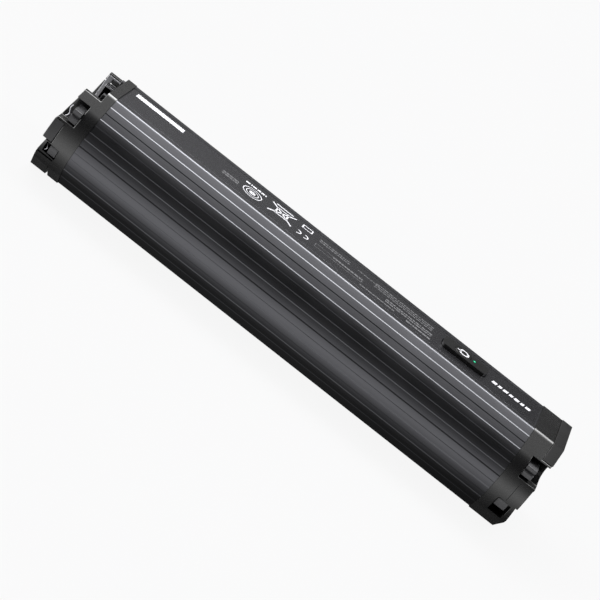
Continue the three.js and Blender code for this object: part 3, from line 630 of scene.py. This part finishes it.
def swept(bm, x0, x1, outline):
    """A closed solid with one outline of (y, z) points, from one x to another."""
    ends = [[bm.verts.new((x, p.x, MIDDLE + p.y)) for p in outline] for x in (x0, x1)]
    for i in range(len(outline)):
        j = (i + 1) % len(outline)
        bm.faces.new((ends[0][i], ends[0][j], ends[1][j], ends[1][i]))
    bm.faces.new(ends[0])
    bm.faces.new(ends[1])


def latch_block(node, side):
    """A latch block on one root: the upper ones have a round nose, a hollow and a foot, the lower ones a
    round nose over a face that falls away."""
    low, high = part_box(node)
    z0 = low.z - MIDDLE
    z1 = high.z - MIDDLE
    face = max(abs(low.y), abs(high.y))
    root = min(abs(low.y), abs(high.y))
    upper = "upper" in node
    nose = Vector((face - LATCH_NOSE, z1 - LATCH_NOSE))
    out = [Vector((root, z1))]
    for k in range(7):
        angle = math.radians(90 - 15 * k)
        out.append(nose + LATCH_NOSE * Vector((math.cos(angle), math.sin(angle))))
    for depth, share in UPPER_FRONT if upper else LOWER_FRONT:
        out.append(Vector((face - depth * MM, z0 + share * (z1 - z0))))
    if upper:
        out.append(Vector((face, z0 + UPPER_FOOT)))
    out.append(Vector((root, z0)))
    bm = bmesh.new()
    swept(bm, low.x, high.x, [Vector((side * p.x, p.y)) for p in out])
    sharp = [e for e in bm.edges if e.calc_face_angle(0) > math.radians(40)]
    bmesh.ops.bevel(bm, geom=sharp, offset=LATCH_ROUNDING, segments=3, affect="EDGES", clamp_overlap=False)
    hand_over(even_shading(to_object(node + "_shape", bm, GREY_PLASTIC, 40)), [node])


def bent_wire(name, points, radius, material):
    """A bent round wire through a few points."""
    curve = bpy.data.curves.new(name, "CURVE")
    curve.dimensions = "3D"
    curve.bevel_depth = radius
    curve.bevel_resolution = 4
    curve.use_fill_caps = True
    spline = curve.splines.new("BEZIER")
    spline.bezier_points.add(len(points) - 1)
    for handle, point in zip(spline.bezier_points, points):
        handle.co = point
        handle.handle_left_type = "AUTO"
        handle.handle_right_type = "AUTO"
    guide = bpy.data.objects.new(name + "_guide", curve)
    bpy.context.scene.collection.objects.link(guide)
    mesh = evaluated_mesh(guide)
    bpy.data.objects.remove(guide)
    mesh.materials.clear()
    mesh.materials.append(material)
    piece = bpy.data.objects.new(name, mesh)
    bpy.context.scene.collection.objects.link(piece)
    return hand_over(piece)


def latch_spring(name, block, side):
    """The bent spring wire beside a latch block of the connector end, held at the pocket's floor."""
    low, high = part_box(block)
    face = max(abs(low.y), abs(high.y))
    points = []
    for beyond, depth, share in SPRING_BENDS:
        y = side * (face - depth * MM)
        points.append(Vector((low.x - beyond * MM, y, low.z + share * (high.z - low.z))))
    bent_wire(name, points, SPRING_WIRE, STEEL)


def painted_pad_groove_shade(name, side):
    """Painted shade for the engraved groove round the raised pad of the closed end: a dark strip on the round
    side that stands just proud of it.
    """
    top = math.asin(PAD_TOP / SIDE_RADIUS)
    bottom = -math.asin(PAD_BOTTOM / SIDE_RADIUS)
    stop = REAR_CAP_HIGH.x - 1.2 * MM
    proud = CAP_PROUD + 0.02 * MM
    sunk = CAP_PROUD - 0.3 * MM
    bm = bmesh.new()

    def strip(xs, first, last):
        steps = 14
        outline = []
        for start, end, offset in ((first, last, proud), (last, first, sunk)):
            outline += [side_point(start + (end - start) * k / steps, offset) for k in range(steps + 1)]
        swept(bm, xs[0], xs[1], [Vector((side * p.x, p.y)) for p in outline])

    strip((PAD_START, PAD_START + PAD_LINE), bottom, top)
    strip((PAD_START + PAD_LINE, stop), top - PAD_LINE / SIDE_RADIUS, top)
    # the dark matte strip is painted shade where the engraved groove is
    hand_over(to_object(name, bm, RUBBER))


# ---------------------------------------------------------------- screws
def socket_screw(node, head_low):
    """A socket-head screw along X, with a rounded head and a hexagonal socket."""
    low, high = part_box(node)
    centre = (low + high) / 2
    radius = (high.z - low.z) / 2
    shank = 1.2 * MM
    head = 2.4 * MM
    socket = 1.25 * MM
    socket_depth = 1.3 * MM
    round_off = 0.4 * MM
    taper = 1.4 * MM
    tip = 0.2 * MM
    length = high.x - low.x
    direction = 1 if head_low else -1
    start = low.x if head_low else high.x
    sides = 36
    bm = bmesh.new()

    def ring(x, r, count):
        made = []
        for k in range(count):
            angle = 2 * math.pi * k / count
            place = (start + direction * x, centre.y + r * math.cos(angle), centre.z + r * math.sin(angle))
            made.append(bm.verts.new(place))
        return made

    def join(a, b):
        for k in range(len(a)):
            bm.faces.new((a[k - 1], a[k], b[k], b[k - 1]))

    profile = []
    for k in range(5):
        angle = math.pi / 2 * (4 - k) / 4
        profile.append((round_off * (1 - math.sin(angle)), radius - round_off * (1 - math.cos(angle))))
    profile += [(head, radius), (head, shank), (length - taper, shank), (length, tip)]
    rings = [ring(x, r, sides) for x, r in profile]
    for a, b in zip(rings, rings[1:]):
        join(a, b)
    bm.faces.new(rings[-1])
    mouth = ring(0, socket, 6)
    floor = ring(socket_depth, socket, 6)
    join(mouth, floor)
    bm.faces.new(floor)
    edges = [bm.edges.get((loop[k - 1], loop[k])) for loop in (rings[0], mouth) for k in range(len(loop))]
    bmesh.ops.triangle_fill(bm, edges=edges, use_beauty=True)
    hand_over(to_object(node + "_shape", bm, BLACK_STEEL, 30), [node])


# ---------------------------------------------------------------- printed marks
class Marks:
    """Flat printed marks, collected as thin solids in one mesh. Their sizes are in millimetres."""

    thick = 0.03 * MM

    def __init__(self, level):
        self.bm = bmesh.new()
        self.level = level

    def shape(self, outline):
        """A thin solid with an outline of (x, y) points."""
        top = [self.bm.verts.new((x * MM, y * MM, self.level + self.thick)) for x, y in outline]
        bottom = [self.bm.verts.new((x * MM, y * MM, self.level)) for x, y in outline]
        for i in range(len(outline)):
            self.bm.faces.new((top[i - 1], top[i], bottom[i], bottom[i - 1]))
        self.bm.faces.new(top)
        self.bm.faces.new(bottom)

    def bar(self, x, y, length, width, angle=0.0, slant=0.0):
        """A bar about its middle, turned by degrees, with its ends leaning by the slant."""
        turn = math.radians(angle)
        corners = []
        for a, b in ((-1, -1), (1, -1), (1, 1), (-1, 1)):
            u = a * length / 2 + b * slant / 2
            v = b * width / 2
            corners.append((x + u * math.cos(turn) - v * math.sin(turn),
                            y + u * math.sin(turn) + v * math.cos(turn)))
        self.shape(corners)

    def arc(self, x, y, outer, inner, start=0.0, end=360.0):
        """A ring, or the part of one between two angles in degrees."""
        count = max(8, int(abs(end - start) / 10))
        for k in range(count):
            quad = []
            for radius, step in ((outer, k), (outer, k + 1), (inner, k + 1), (inner, k)):
                angle = math.radians(start + (end - start) * step / count)
                quad.append((x + radius * math.cos(angle), y + radius * math.sin(angle)))
            self.shape(quad)

    def row(self, x0, x1, y, height, seed, gap=0.7):
        """A row of plain dashes of uneven length."""
        dice = random.Random(seed)
        x = x0
        while x < x1 - 0.6:
            length = min(dice.uniform(0.8, 3.2), x1 - x)
            self.bar(x + length / 2, y, length, height)
            x += length + gap * dice.uniform(0.7, 1.3)

    def frame(self, x, y, length, width, line):
        """An upright rectangle of four bars about its middle."""
        for sign in (-1, 1):
            self.bar(x, y + sign * (width - line) / 2, length, line)
            self.bar(x + sign * (length - line) / 2, y, line, width - 2 * line)

    def done(self, name, material, body=BODY):
        hand_over(to_object(name, self.bm, material), (), body)


def label_print():
    """Plain marks where a pack's label has its print: no lettering, only bars, rings and frames."""
    level = FILM_TOP + 0.01 * MM
    white = Marks(level)
    rings = (-62.9, -1.7)
    for outer, inner in ((7.2, 6.5), (4.8, 4.2), (2.3, 0.6)):
        white.arc(*rings, outer, inner)
    white.row(-71, -55, 9.2, 2.4, seed=2)
    cross = (-40.7, 2.0)
    for angle in (42, -42):
        white.bar(*cross, 25, 1.3, angle)
    white.frame(*cross, 9.5, 11, 1.2)
    white.bar(cross[0], 11.2, 13, 1.4)
    white.frame(-22.3, 9.0, 8.0, 5.8, 0.9)
    for x in (-26.7, -21.2):
        white.arc(x, -4.8, 3.2, 2.3, -90, 90)
    for k in range(7):
        white.bar(127.2 + 4.35 * k, -0.9, 2.6 if k % 2 else 3.5, 3.8, slant=1.0)
    white.done("label_marks", WHITE_INK)
    faint = Marks(level)
    rows = (                                       # from x, to x, y, height
        (-85.8, -73.4, -1.6, 1.9), (-85.8, -73.4, -4.8, 1.9), (-12, 11.5, 8.4, 1.3), (-12, 11.5, 5.4, 1.3),
        (18, 34.5, 7.0, 0.9), (32, 78, 8.6, 1.1), (32, 78, 5.6, 1.1), (32, 78, 2.6, 1.1),
        (1, 23.9, -3.0, 1.9), (42.5, 78.5, -3.0, 1.7), (42.5, 78.5, -6.2, 1.7),
        (23.9, 50.6, -11.2, 1.5), (59.9, 79.1, -11.2, 2.4),
    )
    for seed, (x0, x1, y, height) in enumerate(rows, 10):
        faint.row(x0, x1, y, height, seed, gap=0.5)
    faint.frame(5.5, -4.4, 37, 5.6, 0.4)
    faint.done("label_rows", GREY_INK)


def power_icon():
    """The usual power symbol on the key: an open ring and a bar."""
    centre = (KEY_LOW + KEY_HIGH) / (2 * MM)
    icon = Marks(KEY_HIGH.z + 0.005 * MM)
    icon.arc(centre.x + 0.4, centre.y, 3.9, 2.6, -150, 150)
    icon.bar(centre.x - 3.0, centre.y, 3.2, 1.1)
    icon.done("power_icon", WHITE_INK, KEY_BODY)


# ---------------------------------------------------------------- pieces
make_housing()
for cap in ("front_end_cap", "rear_end_cap"):
    refine(cap, CAP_PLASTIC, 0.4 * MM, side_offset=CAP_PROUD, soft_label_edges=True,
           shortest=MM)
refine("rear_end_cover", COVER_PLASTIC, 0.4 * MM, 4, 50, side_offset=CAP_PROUD)
refine("switch_bezel", GLOSS_PLASTIC, 0.45 * MM, 4, shortest=0.2 * MM)
refine("power_button", GLOSS_PLASTIC, 0.3 * MM, body=KEY_BODY)
refine("connector_shell", GLOSS_PLASTIC, 0.35 * MM)
refine("lock_striker_plate", STEEL, 0.3 * MM)
refine("label_film", FILM, 0.12 * MM)
for side, sign in SIDES.items():
    for pocket in ("front_upper", "front_lower", "rear_upper", "rear_lower"):
        block = f"{pocket}_latch_block_{side}"
        latch_block(block, sign)
        if pocket.startswith("front"):
            latch_spring(f"{pocket}_spring_{side}", block, sign)
    # dark strips painted as the shade of the pad's engraved groove
    painted_pad_groove_shade(f"painted_pad_groove_shade_{side}", sign)
    refine(f"guide_tab_{side}", TAB_PLASTIC, 0.5 * MM, side_offset=CAP_PROUD)
    refine(f"catch_plate_{side}", STEEL, 0.2 * MM)
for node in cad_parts:
    if "_screw_" in node:
        socket_screw(node, node.startswith("front"))
label_print()
power_icon()

# ---------------------------------------------------------------- CAD nodes that keep their shape
KEPT = {
    "serial_sticker": STICKER,
    "led_light_pipe": LIGHT,
    "connector_seal": RUBBER,
    "front_gasket": RUBBER,
    "rear_gasket": RUBBER,
    "tact_switch": STEEL,
    "indicator_board": BOARD,
    "battery_management_board": BOARD,
    "mosfet_heat_spreader": BARE_ALUMINIUM,
    "main_fuse": HOLDER_PLASTIC,
    "pack_return_lead": BLACK_WIRE,
    "signal_harness": RED_WIRE,
    "front_busbar": NICKEL,
    "rear_busbar": NICKEL,
}
# and those known by a part of their name
FAMILIES = {"cell_string": CELL_WRAP, "_cell_holder": HOLDER_PLASTIC, "contact_": BRASS}
for node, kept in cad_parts.items():
    look = KEPT.get(node)
    for part_of_name, family_look in FAMILIES.items():
        if look is None and part_of_name in node:
            look = family_look
    if look is not None:
        kept.data.materials.clear()
        kept.data.materials.append(look)


# ---------------------------------------------------------------- stage, camera and light
def make_floor():
    """A pale sheet that looks the same all over and isn't seen in the reflections."""
    paper = (0.905, 0.905, 0.905, 1)
    g = Look("pale_floor", Metallic=0.0, Roughness=0.9, Specular_IOR_Level=0.0, Emission_Strength=1.0,
             Emission_Color=paper)
    g.feed(Base_Color=g.colours(g.noise(2), grey(0.028), grey(0.03)))
    bm = bmesh.new()
    bmesh.ops.create_grid(bm, x_segments=2, y_segments=2, size=4)
    floor = to_object("floor", bm, g.material)
    floor.visible_glossy = False


def make_camera():
    """A long lens from the front right, turned so that the pack lies on the picture's diagonal."""
    elevation = math.radians(21.05)
    roll = math.radians(38.16)
    distance = 1.458
    below_edge = 0.0267
    edge = Vector((1.0 * MM, -LABEL_HALF, HOUSING_HIGH.z))
    view = Vector((0, math.cos(elevation), -math.sin(elevation)))
    up = Vector((0, math.sin(elevation), math.cos(elevation)))
    level = Vector((1, 0, 0))
    right = math.cos(roll) * level + math.sin(roll) * up
    top = math.cos(roll) * up - math.sin(roll) * level
    place = edge - below_edge * up - distance * view
    data = bpy.data.cameras.new("camera")
    data.lens = 143.4
    data.sensor_width = 36
    data.clip_start = 0.05
    camera = bpy.data.objects.new("camera", data)
    camera.matrix_world = Matrix.Translation(place) @ Matrix((right, top, -view)).transposed().to_4x4()
    bpy.context.scene.collection.objects.link(camera)
    bpy.context.scene.camera = camera


# brightness of the studio round the pack's long axis: degrees from the horizon in front, up and over
STUDIO_FRONT_END = (
    (-180, 0.1), (-150, 0.15), (-125, 0.02), (-100, 0.07), (-85, 0.16), (-73, 0.3), (-61, 0.45), (-50, 0.8),
    (-42, 0.9), (-33, 0.73), (-22, 0.55), (-12, 0.38), (-2, 0.21), (8, 0.12), (22, 0.06), (35, 0.02),
    (62, 0.02), (70, 0.4), (75, 0.68), (81, 1.4), (90, 1.6), (100, 1.9), (109, 8.6), (126, 8.6),
    (133, 0.5), (146, 0.02), (155, 0.2), (165, 0.32), (180, 0.2),
)
STUDIO_MIDDLE = (
    (-180, 0.08), (-150, 0.12), (-125, 0.03), (-100, 0.1), (-80, 0.26), (-65, 0.56), (-55, 0.96), (-44, 1.3),
    (-30, 1.12), (-22, 0.88), (-12, 0.66), (-2, 0.31), (8, 0.18), (22, 0.08), (35, 0.02), (62, 0.02),
    (70, 0.4), (75, 0.68), (81, 1.4), (90, 1.6), (100, 1.8), (109, 9.0), (126, 9.0), (132, 0.4), (142, 0.02),
    (155, 0.17), (165, 0.24), (180, 0.1),
)
STUDIO_CLOSED_END = (
    (-180, 0.03), (-150, 0.06), (-125, 0.01), (-73, 0.02), (-61, 0.04), (-49, 0.12), (-38, 0.34), (-27, 0.78),
    (-17, 0.85), (-7, 0.52), (3, 0.22), (12, 0.15), (22, 0.07), (32, 0.02), (62, 0.02),
    (70, 0.3), (75, 0.45), (81, 0.8), (90, 0.9), (100, 1.2), (108, 5.0), (120, 5.0), (127, 0.1), (180, 0.0),
)
BRIGHTEST = 10.0                                   # the level that stands for full white
STUDIO_REACH = (-0.12, 0.13)                       # direction along X where each end's light is reached
SIDE_WINDOW = (-0.6, -0.85, 4.0)                   # light beyond the connector end: from, to, brightness


def make_world():
    """A soft studio: a profile of light round the long axis that changes from end to end of the pack."""
    world = bpy.data.worlds.new("studio")
    bpy.context.scene.world = world
    world.use_nodes = True
    g = Graph(world.node_tree)
    direction = g.node("ShaderNodeTexCoord").outputs["Generated"]
    axes = g.node("ShaderNodeSeparateXYZ", {"Vector": direction}).outputs
    angle = g.math("ARCTAN2", axes["Z"], g.math("MULTIPLY", axes["Y"], -1.0))
    turn = g.spread(angle, 0.0, 1.0, -math.pi, math.pi)

    def studio(profile):
        return g.ramp(turn, [((degrees + 180) / 360, (level / BRIGHTEST,) * 3) for degrees, level in profile])

    def blend(factor, first, second):
        mix = g.node("ShaderNodeMix", {"Factor": factor}, data_type="RGBA")
        g.tree.links.new(first, mix.inputs[6])
        g.tree.links.new(second, mix.inputs[7])
        return mix.outputs[2]

    to_front = g.spread(axes["X"], 1.0, 0.0, STUDIO_REACH[0], 0.0)
    to_closed = g.spread(axes["X"], 0.0, 1.0, 0.0, STUDIO_REACH[1])
    light = blend(to_front, studio(STUDIO_MIDDLE), studio(STUDIO_FRONT_END))
    light = blend(to_closed, light, studio(STUDIO_CLOSED_END))
    start, end, level = SIDE_WINDOW
    window = g.node("ShaderNodeRGB")
    window.outputs[0].default_value = (*[level / BRIGHTEST] * 3, 1)
    light = blend(g.spread(axes["X"], 1.0, 0.0, end, start), light, window.outputs[0])
    background = world.node_tree.nodes["Background"]
    background.inputs["Strength"].default_value = BRIGHTEST
    g.tree.links.new(light, background.inputs["Color"])


make_floor()
make_camera()
make_world()
bpy.context.scene.view_settings.view_transform = "Standard"
